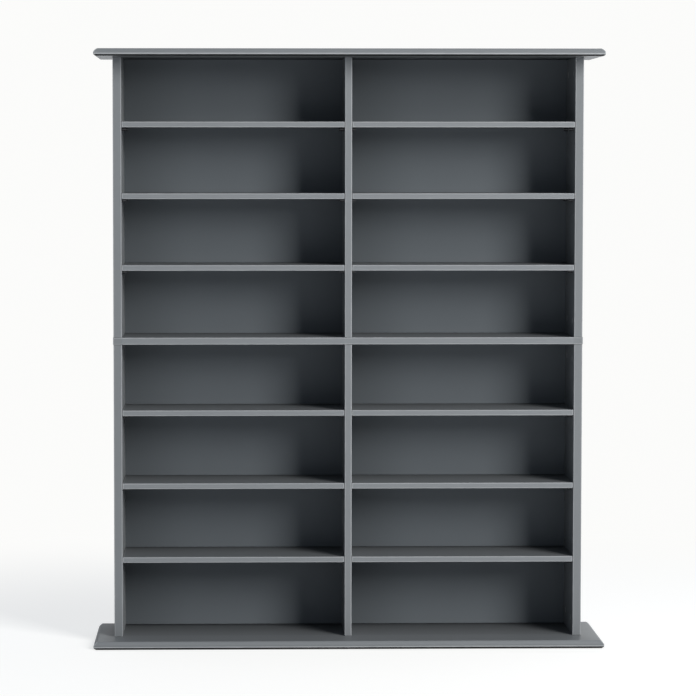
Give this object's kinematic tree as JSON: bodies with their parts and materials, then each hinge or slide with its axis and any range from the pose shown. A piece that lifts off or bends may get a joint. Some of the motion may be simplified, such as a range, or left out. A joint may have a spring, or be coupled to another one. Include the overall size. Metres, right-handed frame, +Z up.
{
  "type": "media shelf",
  "caption": "Free-standing double-column media shelf with adjustable shelves, a fixed middle shelf and overhanging moulded base and top boards.",
  "frame": {"origin": "on the floor, at the middle of the base board's underside", "axes": "+Z up, +Y to the rear, +X to the right seen from the front"},
  "size_m": [1.094, 0.241, 1.281],
  "materials": {
    "grey_board": "satin slate-grey laminate on fibreboard",
    "back_board": "satin slate-grey painted hardboard",
    "pin_steel": "black-oxidised, turned",
    "cam_zinc": "bare zinc casting",
    "bolt_steel": "zinc-plated",
    "beech": "plain fluted beech"
  },
  "bodies": {
    "carcass": {"base_board": "grey_board", "side_left_lower": "grey_board", "side_right_lower": "grey_board", "divider_lower": "grey_board", "middle_shelf": "grey_board", "side_left_upper": "grey_board", "side_right_upper": "grey_board", "divider_upper": "grey_board", "top_board": "grey_board", "back_left_lower": "back_board", "back_right_lower": "back_board", "back_left_upper": "back_board", "back_right_upper": "back_board", "shelf_pins_left_lower": "pin_steel", "shelf_pins_right_lower": "pin_steel", "shelf_pins_left_upper": "pin_steel", "shelf_pins_right_upper": "pin_steel", "cam_locks_lower": "cam_zinc", "cam_locks_upper": "cam_zinc", "cam_bolts_base": "bolt_steel", "cam_bolts_middle": "bolt_steel", "cam_bolts_top": "bolt_steel", "dowels_base": "beech", "dowels_middle": "beech", "dowels_top": "beech"},
    "shelf_left_lower_1": {"shelf_left_lower_1": "grey_board"},
    "shelf_left_lower_2": {"shelf_left_lower_2": "grey_board"},
    "shelf_left_lower_3": {"shelf_left_lower_3": "grey_board"},
    "shelf_right_lower_1": {"shelf_right_lower_1": "grey_board"},
    "shelf_right_lower_2": {"shelf_right_lower_2": "grey_board"},
    "shelf_right_lower_3": {"shelf_right_lower_3": "grey_board"},
    "shelf_left_upper_1": {"shelf_left_upper_1": "grey_board"},
    "shelf_left_upper_2": {"shelf_left_upper_2": "grey_board"},
    "shelf_left_upper_3": {"shelf_left_upper_3": "grey_board"},
    "shelf_right_upper_1": {"shelf_right_upper_1": "grey_board"},
    "shelf_right_upper_2": {"shelf_right_upper_2": "grey_board"},
    "shelf_right_upper_3": {"shelf_right_upper_3": "grey_board"}
  },
  "joints": [
    {"name": "shelf_left_lower_1_slide", "type": "slide", "parent": "carcass", "child": "shelf_left_lower_1", "axis": [0, -1, 0], "range_m": [0, 0.25]},
    {"name": "shelf_left_lower_2_slide", "type": "slide", "parent": "carcass", "child": "shelf_left_lower_2", "axis": [0, -1, 0], "range_m": [0, 0.25]},
    {"name": "shelf_left_lower_3_slide", "type": "slide", "parent": "carcass", "child": "shelf_left_lower_3", "axis": [0, -1, 0], "range_m": [0, 0.25]},
    {"name": "shelf_right_lower_1_slide", "type": "slide", "parent": "carcass", "child": "shelf_right_lower_1", "axis": [0, -1, 0], "range_m": [0, 0.25]},
    {"name": "shelf_right_lower_2_slide", "type": "slide", "parent": "carcass", "child": "shelf_right_lower_2", "axis": [0, -1, 0], "range_m": [0, 0.25]},
    {"name": "shelf_right_lower_3_slide", "type": "slide", "parent": "carcass", "child": "shelf_right_lower_3", "axis": [0, -1, 0], "range_m": [0, 0.25]},
    {"name": "shelf_left_upper_1_slide", "type": "slide", "parent": "carcass", "child": "shelf_left_upper_1", "axis": [0, -1, 0], "range_m": [0, 0.25]},
    {"name": "shelf_left_upper_2_slide", "type": "slide", "parent": "carcass", "child": "shelf_left_upper_2", "axis": [0, -1, 0], "range_m": [0, 0.25]},
    {"name": "shelf_left_upper_3_slide", "type": "slide", "parent": "carcass", "child": "shelf_left_upper_3", "axis": [0, -1, 0], "range_m": [0, 0.25]},
    {"name": "shelf_right_upper_1_slide", "type": "slide", "parent": "carcass", "child": "shelf_right_upper_1", "axis": [0, -1, 0], "range_m": [0, 0.25]},
    {"name": "shelf_right_upper_2_slide", "type": "slide", "parent": "carcass", "child": "shelf_right_upper_2", "axis": [0, -1, 0], "range_m": [0, 0.25]},
    {"name": "shelf_right_upper_3_slide", "type": "slide", "parent": "carcass", "child": "shelf_right_upper_3", "axis": [0, -1, 0], "range_m": [0, 0.25]}
  ]
}
